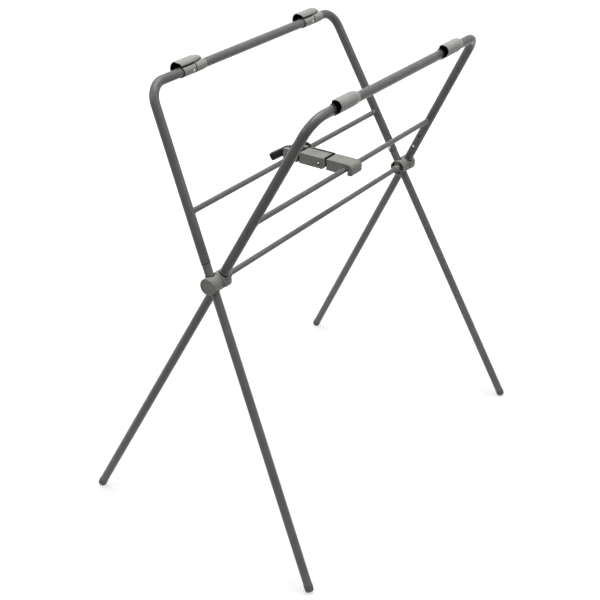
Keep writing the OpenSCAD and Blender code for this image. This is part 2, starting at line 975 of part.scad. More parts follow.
// Finger over the cross bar, then down to the hook's tail
module lever_finger() {
    top = half_h - 0.6;
    polygon([
        [-lever_back, lever_up + boss_r - 0.5],
        [-9, top],
        [8, top],
        [15, finger_low + finger_t],
        [finger_to, finger_low + finger_t],
        [finger_to, finger_low],
        [14, finger_low],
        [7.4, top - finger_t],
        [-7, top - finger_t],
        [-lever_back + 3, lever_up + 1]
    ]);
}

module release_lever() {
    color(black)
        on_brace()
            difference() {
                union() {
                    translate([0, -lever_back, lever_up])
                        rod_x(boss_r, -lever_w / 2, lever_w / 2);
                    side_view(-lever_w / 2, lever_w / 2)
                        lever_arm();
                    side_view(-lever_w / 2 + 1, lever_w / 2 - 1)
                        lever_finger();
                }
                translate([0, -lever_back, lever_up])
                    rod_x(lever_pin_d / 2 + turn_gap, -half_w, half_w);
                // Two rows of oval pockets in each side of the grip
                for (row = [-1, 1])
                    for (i = [0 : 4])
                        translate([0, -grip_from, lever_up - 1])
                            rotate([grip_slope, 0, 0])
                                translate([0, -10 - i * 6.5, row * lever_t / 4.4])
                                    for (s = [-1, 1])
                                        translate([s * lever_w / 2, 0, 0])
                                            side_view(-2, 2)
                                                rounded_rect(-2, 2, -1.4, 1.4, 1.39);
            }
}

module hook_pin() {
    color(steel)
        on_brace()
            translate([0, pin_at, 0])
                rod_x(pin_d / 2, -half_w - 0.4, half_w + 0.4);
}

module lever_pin() {
    color(steel)
        on_brace()
            translate([0, -lever_back, lever_up])
                rod_x(lever_pin_d / 2, -half_w + 0.6, half_w - 0.6);
}

// Stop collars on the cross bar, a small one and a wide one at the rear
module bar_collars() {
    color(black)
        on_brace() {
            rod_x(9, half_w + pass_gap, half_w + pass_gap + 6, bar_r + push_gap);
            rod_x(15, -half_w - pass_gap - 8, -half_w - pass_gap, bar_r + push_gap);
        }
}

top_frame(LEFT);  // top_frame_left
top_frame(RIGHT);  // top_frame_right
leg(LEFT, NEAR);  // leg_left_near
leg(LEFT, FAR);  // leg_left_far
leg(RIGHT, NEAR);  // leg_right_near
leg(RIGHT, FAR);  // leg_right_far
foot(LEFT, NEAR);  // foot_left_near
foot(LEFT, FAR);  // foot_left_far
foot(RIGHT, NEAR);  // foot_right_near
foot(RIGHT, FAR);  // foot_right_far
crossbar(LEFT);  // crossbar_left
crossbar(RIGHT);  // crossbar_right
axle_tube();
axle_ferrules();
hub_half(LEFT, NEAR);  // hub_left_near
hub_half(LEFT, FAR);  // hub_left_far
hub_half(RIGHT, NEAR);  // hub_right_near
hub_half(RIGHT, FAR);  // hub_right_far
hub_cap(NEAR);  // hub_cap_near
hub_cap(FAR);  // hub_cap_far
pivot_bolt(NEAR);  // pivot_bolt_near
pivot_bolt(FAR);  // pivot_bolt_far
slip_washers();
hub_screws(LEFT);  // hub_screws_left
hub_screws(RIGHT);  // hub_screws_right
button(LEFT, NEAR);  // button_left_near
button(LEFT, FAR);  // button_left_far
button(RIGHT, NEAR);  // button_right_near
button(RIGHT, FAR);  // button_right_far
button_springs(LEFT);  // button_springs_left
button_springs(RIGHT);  // button_springs_right
clip(LEFT, NEAR);  // clip_left_near
clip(LEFT, FAR);  // clip_left_far
clip(RIGHT, NEAR);  // clip_right_near
clip(RIGHT, FAR);  // clip_right_far
clip_screws(LEFT);  // clip_screws_left
clip_screws(RIGHT);  // clip_screws_right
clip_linings(LEFT);  // clip_linings_left
clip_linings(RIGHT);  // clip_linings_right
bar_clamp();
brace_core();
brace_housing();
brace_hook();
hook_spring();
release_lever();
hook_pin();
lever_pin();
bar_collars();
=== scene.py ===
"""Folding cross-legged stand for a baby bath: finishes, finer mouldings and feet, floor, lights and camera."""
import json
import logging
import math
from abc import ABC, abstractmethod
from collections.abc import Callable
from dataclasses import dataclass, field, replace
from enum import Enum

import bmesh
import bpy
import numpy as np
from mathutils import Matrix, Vector


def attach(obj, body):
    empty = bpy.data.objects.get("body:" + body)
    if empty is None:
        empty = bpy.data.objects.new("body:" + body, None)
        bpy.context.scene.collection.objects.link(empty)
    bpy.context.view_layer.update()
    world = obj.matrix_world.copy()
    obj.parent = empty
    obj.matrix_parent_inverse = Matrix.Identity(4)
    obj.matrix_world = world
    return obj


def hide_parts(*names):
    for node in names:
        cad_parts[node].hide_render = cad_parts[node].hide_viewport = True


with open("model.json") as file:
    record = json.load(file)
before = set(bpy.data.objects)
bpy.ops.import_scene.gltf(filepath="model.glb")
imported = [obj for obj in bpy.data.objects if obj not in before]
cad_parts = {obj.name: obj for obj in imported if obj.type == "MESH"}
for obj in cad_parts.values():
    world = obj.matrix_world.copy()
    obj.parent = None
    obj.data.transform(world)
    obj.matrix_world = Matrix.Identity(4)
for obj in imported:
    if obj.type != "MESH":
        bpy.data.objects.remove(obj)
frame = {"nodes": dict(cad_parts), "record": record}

LOG = logging.getLogger("bath_stand")
MM = 0.001
TURN = 2 * math.pi
# Points that are closer than this many metres become one
MERGE = 1e-7
Colour = tuple[float, float, float, float]
# Points in millimetres, shaped (rows, columns, 3) or (patches, rows, columns, 3), with columns that wrap
Grid = np.ndarray
Point = tuple[float, float, float]
Pair = tuple[float, float]
ACROSS, AHEAD, UP = (1.0, 0.0, 0.0), (0.0, 1.0, 0.0), (0.0, 0.0, 1.0)
# Sockets of the Mix node when it mixes colours: factor, first and second colour, and the result
FACTOR, FIRST, SECOND, MIXED = 0, 6, 7, 2
# Parts of a noise pattern's range that are spread over the whole: patches, blotches and grain
PATCH_SPREAD, BLOTCH_SPREAD, GRAIN_SPREAD = (0.32, 0.68), (0.35, 0.65), (0.3, 0.7)
# Lightness of the darkest and lightest flecks, and how far normals agree where an edge starts and is fully rubbed
FLECKS, RUBBED = (0.93, 1.06), (0.995, 0.8)


class Side(Enum):
    """The two crossed frames, by the side on which each has its top bar."""

    LEFT = 1
    RIGHT = -1

    @property
    def tag(self) -> str:
        """Ending of the names of this frame's pieces."""
        return self.name.lower()


class End(Enum):
    """The two ends of the stand along the hinge axis."""

    NEAR = -1
    FAR = 1


@dataclass(frozen=True)
class Sizes:
    """Sizes of the stand in millimetres and degrees, the same as in the part's source."""

    frame_d: float = 20.0
    bar_d: float = 12.0
    top_reach: float = 412.0
    foot_reach: float = 668.0
    leg_span: float = 764.0
    lean: float = 26.6
    splay: float = 6.5
    bar_reach: float = 150.0
    hub_r: float = 18.5
    hub_in: float = 13.0
    hub_out: float = 15.0
    washer_t: float = 0.9
    pad_turn: float = 20.0
    sleeve_end_left: float = 45.0
    sleeve_end_right: float = 28.0
    foot_r: float = 9.8
    foot_flat: float = 1.0
    brace_x: float = 15.0
    brace_w: float = 46.0
    pin_at: float = 66.0
    brace_h: float = 25.0
    clamp_front: float = 11.0
    plate_to: float = 80.0
    housing_to: float = 84.0
    lever_up: float = 3.5
    grip_from: float = 30.0
    grip_len: float = 42.0
    grip_slope: float = 33.0
    bend_corner: float = 335.06

    @property
    def axle_h(self) -> float:
        """Height of the hinge axis above the floor."""
        return self.foot_reach * math.cos(math.radians(self.lean)) + self.foot_r - self.foot_flat

    def sleeve_end(self, side: Side) -> float:
        """Height along the leg at which a top tube ends."""
        return self.sleeve_end_left if side is Side.LEFT else self.sleeve_end_right


SIZES = Sizes()


def turn(points: Grid, axis: str, degrees: float) -> Grid:
    """Turn points about one of the axes, right-handed.

    Args:
        points: Array whose last axis holds x, y and z.
        axis: "X" or "Y".
        degrees: Angle.

    Returns:
        The turned points, in the same layout.
    """
    c, s = math.cos(math.radians(degrees)), math.sin(math.radians(degrees))
    matrix = [[1, 0, 0], [0, c, s], [0, -s, c]] if axis == "X" else [[c, 0, -s], [0, 1, 0], [s, 0, c]]
    return points @ np.array(matrix)


def from_frame(points: Grid, side: Side) -> Grid:
    """Carry points from the plane of a frame (X along the axle, Z up the frame) to the stand.

    Args:
        points: Points in millimetres in the frame's plane.
        side: Which of the two crossed frames.
    """
    place = np.array([-side.value * SIZES.hub_in, 0.0, SIZES.axle_h])
    return turn(points, "X", -side.value * SIZES.lean) + place


@dataclass(frozen=True)
class Leg:
    """One of the four legs: its frame, and its end of the stand."""

    side: Side
    end: End

    @property
    def tag(self) -> str:
        """Ending of the names of this leg's pieces."""
        return f"{self.side.tag}_{self.end.name.lower()}"

    @property
    def x(self) -> float:
        """Where the leg crosses the hinge axis."""
        return self.end.value * SIZES.leg_span / 2

    def carry(self, points: Grid) -> Grid:
        """Carry points from the leg (origin on the axle, Z up the leg) to the stand.

        Args:
            points: Points in millimetres along the leg.
        """
        moved = turn(points, "Y", -self.end.value * SIZES.splay) + np.array([self.x, 0, 0])
        return from_frame(moved, self.side)


LEGS = [Leg(side, end) for side in Side for end in End]


def circle(count: int) -> np.ndarray:
    """Evenly spaced angles once round, in radians."""
    return np.linspace(0, TURN, count, endpoint=False)


def joined(*parts: np.ndarray | float) -> np.ndarray:
    """Join coordinates into points, with each coordinate spread over the shape of them all."""
    return np.stack(np.broadcast_arrays(*parts), axis=-1)


def surface(name: str, points: Grid, wrap_u: bool = False, wrap_v: bool = False) -> bpy.types.Object:
    """Make a mesh of quads from one or more grids of points.

    Args:
        name: Name of the piece.
        points: Its grid or grids.
        wrap_u: Whether the last row joins the first.
        wrap_v: Whether the last column joins the first.

    Returns:
        The new object, at the origin, with outward normals and smooth shading.
    """
    patches = points if points.ndim == 4 else points[None]
    count, rows, columns, _ = patches.shape
    index = np.arange(count * rows * columns).reshape(count, rows, columns)
    if wrap_u:
        index = np.concatenate([index, index[:, :1]], axis=1)
    if wrap_v:
        index = np.concatenate([index, index[:, :, :1]], axis=2)
    quads = np.stack([index[:, :-1, :-1], index[:, 1:, :-1], index[:, 1:, 1:], index[:, :-1, 1:]], axis=-1)
    mesh = bpy.data.meshes.new(name)
    mesh.from_pydata((patches.reshape(-1, 3) * MM).tolist(), [], quads.reshape(-1, 4).tolist())
    work = bmesh.new()
    work.from_mesh(mesh)
    bmesh.ops.remove_doubles(work, verts=work.verts, dist=MERGE)
    bmesh.ops.recalc_face_normals(work, faces=work.faces)
    work.to_mesh(mesh)
    work.free()
    mesh.shade_smooth()
    piece = bpy.data.objects.new(name, mesh)
    bpy.context.scene.collection.objects.link(piece)
    return piece


def lathe(profile: np.ndarray, steps: int = 48) -> Grid:
    """Turn a profile once about Z: a point (r, z) goes to (r cos a, r sin a, z).

    Args:
        profile: Array of (r, z) pairs in millimetres.
        steps: Number of columns round the axis.
    """
    angle = circle(steps)
    r, z = profile[:, 0, None], profile[:, 1, None]
    return joined(r * np.cos(angle), r * np.sin(angle), z)


def ring(radius: float, height: float, half_r: float, half_z: float, steps: int = 56) -> Grid:
    """A ring with an oval section: (radius + half_r cos v, height + half_z sin v), turned about Z.

    Args:
        radius: Distance of the section's middle from the axis.
        height: Height of the section's middle.
        half_r: Half width of the section across the axis.
        half_z: Half height of the section along the axis.
        steps: Number of columns round the axis.

    Returns:
        A grid of points that wraps both ways.
    """
    v = circle(12)
    return lathe(joined(radius + half_r * np.cos(v), height + half_z * np.sin(v)), steps)


def smooth(t: np.ndarray) -> np.ndarray:
    """Smooth step: 3 t squared less 2 t cubed between nought and one, and even beyond."""
    t = np.clip(t, 0, 1)
    return t * t * (3 - 2 * t)


def dense(count: int) -> np.ndarray:
    """Numbers from nought to one, closer together at both ends by a half cosine."""
    return 0.5 - 0.5 * np.cos(np.linspace(0, math.pi, count))


def squared(value: np.ndarray, power: float) -> np.ndarray:
    """A sine or cosine raised to a power with its sign kept, which squares an oval off."""
    return np.sign(value) * np.abs(value) ** power


def wall_section(count: int) -> tuple[np.ndarray, np.ndarray]:
    """Section of a thin wall with round edges, once round it.

    Args:
        count: Number of points.

    Returns:
        Where each point lies across the wall's width and in its thickness, each from -1 to 1.
    """
    loop = circle(count)[None, :]
    part = np.arcsin(squared(np.cos(loop), 0.9)) / (math.pi / 2)
    return part, np.clip(np.sin(loop) * 9.0, -1, 1)


def blunt(t: np.ndarray, share: float) -> np.ndarray:
    """Quarter-circle rise from nought to one over a share of the way at both ends of t from nought to one."""
    near = np.clip(np.minimum(t, 1 - t) / share, 0, 1)
    return np.sqrt(np.clip(1 - (1 - near) ** 2, 0, 1))


def carried(path: np.ndarray, out: np.ndarray | Point, side: np.ndarray | Point, half_out: float | np.ndarray,
            half_side: float | np.ndarray, power: float = 0.45, share: float = 0.03) -> Grid:
    """Carry a rounded section along a path, closing on the path at both ends.

    The point at v is path + half_out c out + half_side s side, with c and s the cosine and sine of v raised
    to a power that squares the section off, all times a quarter-circle rise at both ends.

    Args:
        path: Points along the path, denser at its ends.
        out: Direction across the path, one for all points or one for each.
        side: The second direction across it, in the same way.
        half_out: Half size of the section along out.
        half_side: Half size along side.
        power: 1 for an oval, less for a squarer section.
        share: Part of the path over which each end closes.
    """
    v = circle(24)[None, :, None]
    c, s = squared(np.cos(v), power), squared(np.sin(v), power)
    t = dense(len(path))
    size = blunt(t, share)[:, None, None]
    wide, high = (np.broadcast_to(half, t.shape)[:, None, None] for half in (half_out, half_side))
    out, side = (np.broadcast_to(way, path.shape)[:, None] for way in (out, side))
    return path[:, None] + size * (wide * c * out + high * s * side)


def linear(hex_colour: str) -> Colour:
    """Turn an sRGB hex colour into the linear colour that a shader takes."""
    srgb = np.array([int(hex_colour[i:i + 2], 16) / 255 for i in (1, 3, 5)])
    values = np.where(srgb <= 0.04045, srgb / 12.92, ((srgb + 0.055) / 1.055) ** 2.4)
    return (*values.tolist(), 1.0)


def add(tree: bpy.types.NodeTree, kind: str, values: dict | None = None, links: dict | None = None,
        **settings: object) -> bpy.types.Node:
    """Add one node with its settings and links.

    Args:
        tree: Node tree of a material or a world.
        kind: Blender's name for the node.
        values: Constants by input name or number.
        links: Output sockets by the input that they feed.
        **settings: The node's own properties.

    Returns:
        The new node.
    """
    node = tree.nodes.new(kind)
    for key, value in settings.items():
        setattr(node, key, value)
    for key, value in (values or {}).items():
        node.inputs[key].default_value = value
    for key, socket in (links or {}).items():
        tree.links.new(socket, node.inputs[key])
    return node


def ranged(tree: bpy.types.NodeTree, value: bpy.types.NodeSocket, start: float, stop: float, low: float = 0.0,
           high: float = 1.0) -> bpy.types.NodeSocket:
    """Map a value that runs from start to stop to one that runs from low to high, held at both ends."""
    ends = {"From Min": start, "From Max": stop, "To Min": low, "To Max": high}
    return add(tree, "ShaderNodeMapRange", ends, {"Value": value}).outputs[0]


def per_metre(size_mm: float) -> float:
    """Scale of a noise pattern whose cells are this many millimetres wide."""
    return 1000.0 / size_mm


@dataclass(frozen=True)
class Finish:
    """A finish: its name, the record's slot, two tones, its gloss, and the sizes of its patterns in millimetres.

    rough is the lowest and highest roughness, patch the size of the broad changes of tone, grain the size and
    depth of the skin's grain, and edge the radius of the rubbed edges and how much lighter they are.
    """

    name: str
    slot: str
    light: str
    dark: str
    rough: Pair
    patch: float
    grain: Pair
    edge: Pair
    ior: float = 1.5
    metallic: float = 0.0
    coat: float = 0.0
    specular: float = 0.5

    def build(self) -> bpy.types.Material:
        """Build the material: tone in broad patches, gloss in finer ones, a grain, and rubbed edges."""
        material = bpy.data.materials.new(self.name)
        material.use_nodes = True
        tree = material.node_tree
        tree.nodes.clear()
        place = add(tree, "ShaderNodeTexCoord").outputs["Object"]
        patch = add(tree, "ShaderNodeTexNoise", {"Scale": per_metre(self.patch), "Detail": 3.0, "Roughness": 0.55},
                    {"Vector": place})
        blotch = add(tree, "ShaderNodeTexNoise", {"Scale": per_metre(self.patch / 6), "Detail": 4.0,
                                                  "Roughness": 0.6}, {"Vector": place})
        grain = add(tree, "ShaderNodeTexNoise", {"Scale": per_metre(self.grain[0]), "Detail": 2.0}, {"Vector": place})
        tone = ranged(tree, patch.outputs["Fac"], *PATCH_SPREAD)
        body = add(tree, "ShaderNodeMix", {FIRST: linear(self.dark), SECOND: linear(self.light)},
                   {FACTOR: tone}, data_type="RGBA")
        fleck = ranged(tree, grain.outputs["Fac"], *GRAIN_SPREAD, *FLECKS)
        speckled = add(tree, "ShaderNodeMix", {FACTOR: 1.0}, {FIRST: body.outputs[MIXED], SECOND: fleck},
                       data_type="RGBA", blend_type="MULTIPLY")
        # Rubbed edges: where the rounded normal turns away from the flat one, the colour is a little lighter
        rounded = add(tree, "ShaderNodeBevel", {"Radius": self.edge[0] * MM}, samples=4)
        flat = add(tree, "ShaderNodeNewGeometry")
        agree = add(tree, "ShaderNodeVectorMath", None,
                    {0: rounded.outputs["Normal"], 1: flat.outputs["Normal"]}, operation="DOT_PRODUCT")
        edge = ranged(tree, agree.outputs["Value"], *RUBBED, 1.0, self.edge[1])
        worn = add(tree, "ShaderNodeMix", {FACTOR: 1.0}, {FIRST: speckled.outputs[MIXED], SECOND: edge},
                   data_type="RGBA", blend_type="MULTIPLY")
        rough = ranged(tree, blotch.outputs["Fac"], *BLOTCH_SPREAD, *self.rough)
        bump = add(tree, "ShaderNodeBump", {"Strength": 0.6, "Distance": self.grain[1] * MM},
                   {"Height": grain.outputs["Fac"], "Normal": rounded.outputs["Normal"]})
        values = {"Metallic": self.metallic, "IOR": self.ior, "Coat Weight": self.coat, "Coat Roughness": 0.2,
                  "Specular IOR Level": self.specular}
        shader = add(tree, "ShaderNodeBsdfPrincipled", values, {
            "Base Color": worn.outputs[MIXED], "Roughness": rough, "Normal": bump.outputs["Normal"]})
        add(tree, "ShaderNodeOutputMaterial", None, {"Surface": shader.outputs["BSDF"]})
        return material


# Semi-gloss polyester powder coat on steel tube: an even mid grey with a faint orange peel and soft streaks of light
POWDER_COAT = Finish("powder_coated_steel_grey", "tube", "#636362", "#575757", (0.34, 0.42), patch=60.0,
                     grain=(1.6, 0.05), edge=(0.3, 1.12), coat=0.1, specular=0.3)
# The same coat painted a shade lighter on the thinner lower tubes: painted light for the extra light from the floor
# that falls on them
POWDER_COAT_LIT = replace(POWDER_COAT, name="powder_coated_steel_grey_pale", light="#6C6C6B", dark="#606060")
# The same coat over a weld bead, where it runs thicker and duller
COATED_WELD = Finish("powder_coated_weld_grey", "tube", "#616160", "#555555", (0.42, 0.55), patch=12.0,
                     grain=(0.9, 0.08), edge=(0.2, 1.1), specular=0.3)
# Glass-filled nylon, injection moulded with a spark-eroded skin: a warm grey with a fine matt grain
HUB_NYLON = Finish("glass_filled_nylon_grey", "grey", "#7C7D77", "#70716B", (0.46, 0.58), patch=30.0,
                   grain=(0.9, 0.06), edge=(0.7, 1.1), ior=1.53)
# Polypropylene, injection moulded, pale and smooth: a slight sheen and nearly no grain
CLIP_PP = Finish("moulded_polypropylene_pale", "clip", "#90918C", "#848581", (0.40, 0.5), patch=40.0,
                 grain=(1.1, 0.035), edge=(0.7, 1.06), ior=1.49)
# Black acetal, moulded: dense black that catches only soft lights. The same black paints shade on the rings, skins,
# sheets, spots and strips that stand for shadowed gaps and hollows
BLACK_ACETAL_AND_SHADE = Finish("moulded_acetal_black", "black", "#101010", "#0A0A0A", (0.4, 0.52), patch=25.0,
                      grain=(0.9, 0.05), edge=(0.5, 1.5), ior=1.48, specular=0.15)
# Black elastomer moulded over the lever: ribbed and slightly shiny, so that each rib catches a streak of light
GRIP_RUBBER = Finish("overmoulded_elastomer_black", "black", "#111111", "#0A0A0A", (0.24, 0.36), patch=9.0,
                     grain=(0.8, 0.12), edge=(0.4, 1.8), specular=0.35)
# Grey polyethylene foot plugs, moulded in the tubes' colour and dusty from the floor: dull, with no clear highlight
FOOT_PLUG = Finish("moulded_polyethylene_grey", "black", "#646464", "#565656", (0.5, 0.62), patch=14.0,
                   grain=(0.8, 0.05), edge=(0.6, 1.1), specular=0.3)
# Zinc-plated steel, barrelled: bright and slightly cloudy
ZINC_STEEL = Finish("zinc_plated_steel", "steel", "#D2D4D5", "#B9BBBD", (0.22, 0.36), patch=6.0, grain=(0.5, 0.02),
                    edge=(0.3, 1.05), metallic=1.0)


class Wardrobe:
    """Builds each finish once and puts it on nodes and pieces."""

    def __init__(self) -> None:
        """Start with nothing built."""
        self.built: dict[str, bpy.types.Material] = {}
        behaviour = frame["record"]["behaviour"]
        self.body_of = {node: body for body, nodes in behaviour["bodies"].items() for node in nodes}

    def material(self, finish: Finish) -> bpy.types.Material:
        """The material of a finish, built the first time it is asked for."""
        if finish.name not in self.built:
            self.built[finish.name] = finish.build()
        return self.built[finish.name]

    def dress(self, finish: Finish, *nodes: str) -> None:
        """Put a finish on nodes of the frame.

        Args:
            finish: The finish.
            *nodes: Names of the nodes.
        """
        for name in nodes:
            node = frame["nodes"][name]
            if not node.material_slots:
                node.data.materials.append(None)
            for slot in node.material_slots:
                slot.material = self.material(finish)
            LOG.info("dressed %s in %s", name, finish.name)

    def make(self, name: str, points: Grid, wrap_u: bool, finish: Finish, node: str, instead: bool = False) -> None:
        """Make a piece whose columns wrap, finish it and let it ride with a node's body.

        Args:
            name: Its name.
            points: Its grid or grids.
            wrap_u: Whether its rows wrap too.
            finish: Its finish.
            node: The node that carries it.
            instead: Whether it stands in the node's place.
        """
        piece = surface(name, points, wrap_u, True)
        if instead:
            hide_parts(node)
        piece.data.materials.append(self.material(finish))
        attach(piece, self.body_of[node])
        LOG.info("added %s on %s", name, node)


class Assembly(ABC):
    """One group of the stand's pieces."""

    @abstractmethod
    def build(self, wardrobe: Wardrobe) -> None:
        """Dress the group's nodes, and make the pieces that it adds to them or puts in their place.

        Args:
            wardrobe: Where finishes come from and pieces are made.
        """


@dataclass
class TubeFrames(Assembly):
    """The two frames of bent tube with their lower legs, cross bars and the axle tube."""

    bead: float = 1.5
    bead_on: Pair = (0.45, 0.3)
    ripple: float = 0.13
    ripples: int = 22
    rim: float = 0.42
    rim_proud: float = 0.05
    # Black ring of painted shade in the step under each top tube's end: how far in and down it lies, and its half
    # sizes
    seal_in: Pair = (0.62, 0.85)
    seal_half: Pair = (0.42, 0.7)

    def weld_bead(self, leg: Leg) -> Grid:
        """Bead where a cross bar meets a leg.

        The path is the curve on which the bar's cylinder cuts the leg's: at the angle u round the bar,
        y = r cos u and z = r sin u, and x is where the distance from the leg's axis is the leg's radius.
        A circle is carried along it in the plane of the bar's axis and its radius, with a rippled size.

        Args:
            leg: Which leg.

        Returns:
            A grid of points that wraps both ways.
        """
        s = math.radians(SIZES.splay)
        r, big = SIZES.bar_d / 2, SIZES.frame_d / 2
        u, v = circle(132)[:, None], circle(12)[None, :]
        y, z = r * np.cos(u), r * np.sin(u)
        reach = (np.sqrt(big ** 2 - y ** 2) + z * math.sin(s)) / math.cos(s)
        size = self.bead * (1 + self.ripple * np.cos(self.ripples * u))
        along = reach + self.bead_on[0] * self.bead + size * np.cos(v)
        out = self.bead_on[1] * self.bead + size * np.sin(v)
        x = leg.end.value * (SIZES.leg_span / 2 - SIZES.bar_reach * math.tan(s) - along)
        return from_frame(joined(x, y + out * np.cos(u), SIZES.bar_reach + z + out * np.sin(u)), leg.side)

    def tube_rings(self, leg: Leg) -> tuple[Grid, Grid]:
        """Rolled edge at the lower end of a top tube, and a black ring of painted shade in the step under it.

        Each is an oval section turned about the leg.

        Args:
            leg: Which leg.
        """
        radius, low = SIZES.frame_d / 2, SIZES.sleeve_end(leg.side)
        rim = ring(radius - self.rim + self.rim_proud, low, self.rim, self.rim)
        step_shade = ring(radius - self.seal_in[0], low - self.seal_in[1], *self.seal_half)
        return leg.carry(rim), leg.carry(step_shade)

    def build(self, wardrobe: Wardrobe) -> None:
        """Dress the tubes and add the welds, rims and black rings of painted shade in the steps."""
        for side in Side:
            wardrobe.dress(POWDER_COAT, f"top_frame_{side.tag}", f"crossbar_{side.tag}")
        wardrobe.dress(POWDER_COAT, "axle_tube")
        for leg in LEGS:
            tag, bar, top = leg.tag, f"crossbar_{leg.side.tag}", f"top_frame_{leg.side.tag}"
            rim, step_shade = self.tube_rings(leg)
            # The lower legs take the lighter copy of the coat, painted light for the floor's extra light
            wardrobe.dress(POWDER_COAT_LIT, f"leg_{tag}")
            wardrobe.make(f"weld_bead_{tag}", self.weld_bead(leg), True, COATED_WELD, bar)
            wardrobe.make(f"tube_rim_{tag}", rim, True, POWDER_COAT, top)
            wardrobe.make(f"tube_seal_{tag}", step_shade, True, BLACK_ACETAL_AND_SHADE, top)


@dataclass
class Feet(Assembly):
    """The four foot plugs, flat-ended with a wide round corner."""

    top: float = 9.35
    middle: float = -2.03
    low_r: float = 9.35
    corner: float = 5.0
    rim: float = 0.5
    rim_soft: float = 0.15
    flat_share: float = 0.85

    def plug(self, leg: Leg) -> Grid:
        """A foot plug: a wall that narrows to low_r, a quarter circle of the corner, and a flat end, turned.

        Args:
            leg: Which leg.
        """
        base = -SIZES.foot_reach / math.cos(math.radians(SIZES.splay))
        a = np.linspace(0, math.pi / 2, 15)
        inner = self.low_r - self.corner
        round_part = joined(inner + self.corner * np.cos(a), self.middle - self.corner * np.sin(a))
        r, soft = SIZES.foot_r, self.rim_soft
        head = np.array([(0, self.top), (r - self.rim, self.top), (r - soft, self.top - soft),
                         (r, self.top - self.rim), (r, self.top / 2)])
        flat = joined(np.linspace(self.flat_share * inner, 0, 7), self.middle - self.corner)
        profile = np.concatenate([head, round_part, flat]) + np.array([0, base])
        return leg.carry(lathe(profile, 64))

    def build(self, wardrobe: Wardrobe) -> None:
        """Make the plugs in place of the round feet."""
        for leg in LEGS:
            wardrobe.make(f"foot_plug_{leg.tag}", self.plug(leg), False, FOOT_PLUG, f"foot_{leg.tag}", True)


@dataclass
class Hubs(Assembly):
    """The two pivot hubs with their caps, bolts, washers and screws."""

    seam: float = 0.28
    seam_sunk: float = 0.06
    seam_ends: float = 1.4
    seam_angles: Pair = (0.0, 180.0)
    # Black rings of painted shade where the legs enter the hubs
    mouth_r: float = 9.6
    mouth_rise: float = 0.15
    mouth_half: Pair = (0.45, 0.75)

    def seams(self, leg: Leg) -> Grid:
        """Mould parting lines along a hub half.

        Each is an oval section carried along the barrel, thinning to nothing at both ends by a sine.

        Args:
            leg: Which leg the half is on.
        """
        low, high = self.seam_ends - SIZES.hub_out, SIZES.hub_in - SIZES.washer_t / 2 - self.seam_ends
        t, v = np.linspace(0, 1, 17)[:, None], circle(10)[None, :]
        size = self.seam * np.sin(math.pi * t) ** 0.25
        way = leg.side.value
        x = way * (low + (high - low) * t)
        line = joined(x, size * np.cos(v), SIZES.hub_r - self.seam_sunk + size * np.sin(v))
        lines = [turn(line, "X", angle + way * SIZES.pad_turn) for angle in self.seam_angles]
        return from_frame(np.stack(lines) + np.array([leg.x, 0, 0]), leg.side)

    def mouths(self, leg: Leg) -> Grid:
        """Black ring of painted shade round a leg where it enters the hub, above and below, for the shadowed gap
        there.

        The path is the curve on which the leg's cylinder cuts the hub's: at the angle u round the leg, x = r cos u,
        y = r sin u and z is where the distance from the hub's axis is the hub's radius. An oval is carried along it.

        Args:
            leg: Which leg.
        """
        r = self.mouth_r
        u, v = circle(96)[:, None], circle(12)[None, :]
        out = r + self.mouth_half[0] * np.cos(v)
        edge = np.sqrt(SIZES.hub_r ** 2 - (r * np.sin(u)) ** 2)
        height = edge + self.mouth_rise + self.mouth_half[1] * np.sin(v)
        loop = joined(out * np.cos(u), out * np.sin(u), height)
        return np.stack([leg.carry(loop * np.array([1, 1, way])) for way in (1, -1)])

    def build(self, wardrobe: Wardrobe) -> None:
        """Dress the hubs, and add their parting lines and black rings of painted shade round the legs."""
        wardrobe.dress(HUB_NYLON, "axle_ferrules", "hub_cap_near", "hub_cap_far", "hub_screws_left",
                       "hub_screws_right")
        wardrobe.dress(ZINC_STEEL, "pivot_bolt_near", "pivot_bolt_far")
        wardrobe.dress(BLACK_ACETAL_AND_SHADE, "slip_washers")
        for leg in LEGS:
            hub = f"hub_{leg.tag}"
            wardrobe.dress(HUB_NYLON, hub)
            wardrobe.make(f"hub_seams_{leg.tag}", self.seams(leg), False, HUB_NYLON, hub)
            wardrobe.make(f"hub_mouths_{leg.tag}", self.mouths(leg), True, BLACK_ACETAL_AND_SHADE, hub)


class SnapButtons(Assembly):
    """The four snap buttons with their springs."""

    def build(self, wardrobe: Wardrobe) -> None:
        """Dress the buttons and springs."""
        wardrobe.dress(ZINC_STEEL, "button_springs_left", "button_springs_right",
                       *(f"button_{leg.tag}" for leg in LEGS))


